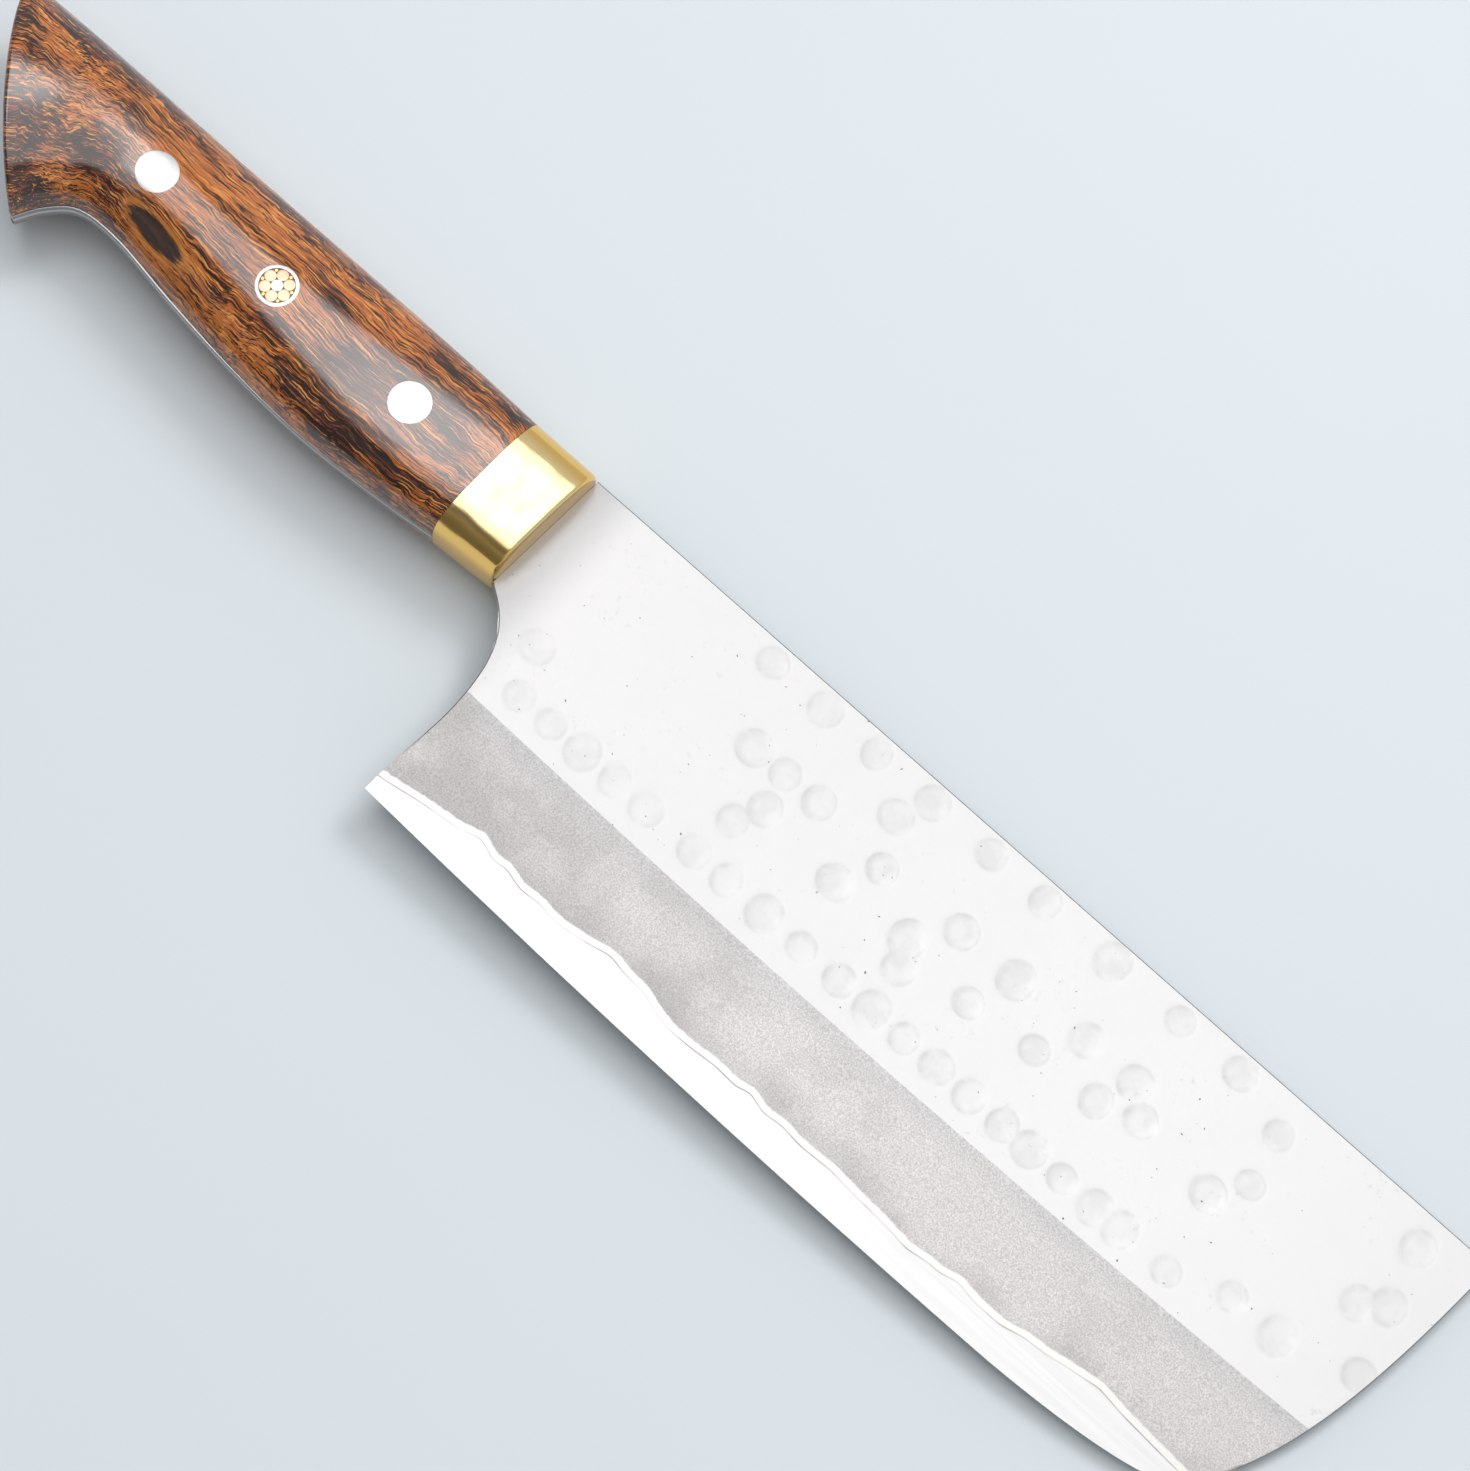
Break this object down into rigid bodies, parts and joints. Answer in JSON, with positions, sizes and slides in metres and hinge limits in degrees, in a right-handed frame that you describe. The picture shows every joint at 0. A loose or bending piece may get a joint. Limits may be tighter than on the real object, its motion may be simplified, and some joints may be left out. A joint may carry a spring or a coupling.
{
  "type": "nakiri knife",
  "caption": "Vegetable knife with a tall flat three-layer blade, hammered faces, brass bolster and a full-tang wooden handle held by plain and mosaic pins.",
  "frame": {"origin": "middle of the underside of the knife's box, with the knife lying on its left side", "axes": "+X from butt to tip, +Y from cutting edge to spine, +Z out of the right face of the blade"},
  "size_m": [0.277, 0.0576, 0.0204],
  "materials": {
    "cladding_steel": "hammered and bright above the grind line, blasted matt below it",
    "core_steel": "polished cutting edge, satin tang edges",
    "bolster_brass": "polished",
    "handle_wood": "polished, figured grain",
    "pin_steel": "polished",
    "rod_copper": "polished copper",
    "rod_brass": "polished",
    "pin_resin": "dark epoxy"
  },
  "bodies": {
    "root": {"core_steel": "core_steel", "right_cladding": "cladding_steel", "left_cladding": "cladding_steel", "bolster": "bolster_brass", "bolster_pin_upper": "bolster_brass", "bolster_pin_lower": "bolster_brass", "right_scale": "handle_wood", "left_scale": "handle_wood", "front_pin": "pin_steel", "rear_pin": "pin_steel", "mosaic_tube": "pin_steel", "mosaic_centre_rod": "pin_steel", "mosaic_copper_rod_1": "rod_copper", "mosaic_copper_rod_2": "rod_copper", "mosaic_copper_rod_3": "rod_copper", "mosaic_copper_rod_4": "rod_copper", "mosaic_copper_rod_5": "rod_copper", "mosaic_copper_rod_6": "rod_copper", "mosaic_brass_rod_1": "rod_brass", "mosaic_brass_rod_2": "rod_brass", "mosaic_brass_rod_3": "rod_brass", "mosaic_brass_rod_4": "rod_brass", "mosaic_brass_rod_5": "rod_brass", "mosaic_brass_rod_6": "rod_brass", "mosaic_epoxy": "pin_resin"}
  },
  "joints": []
}
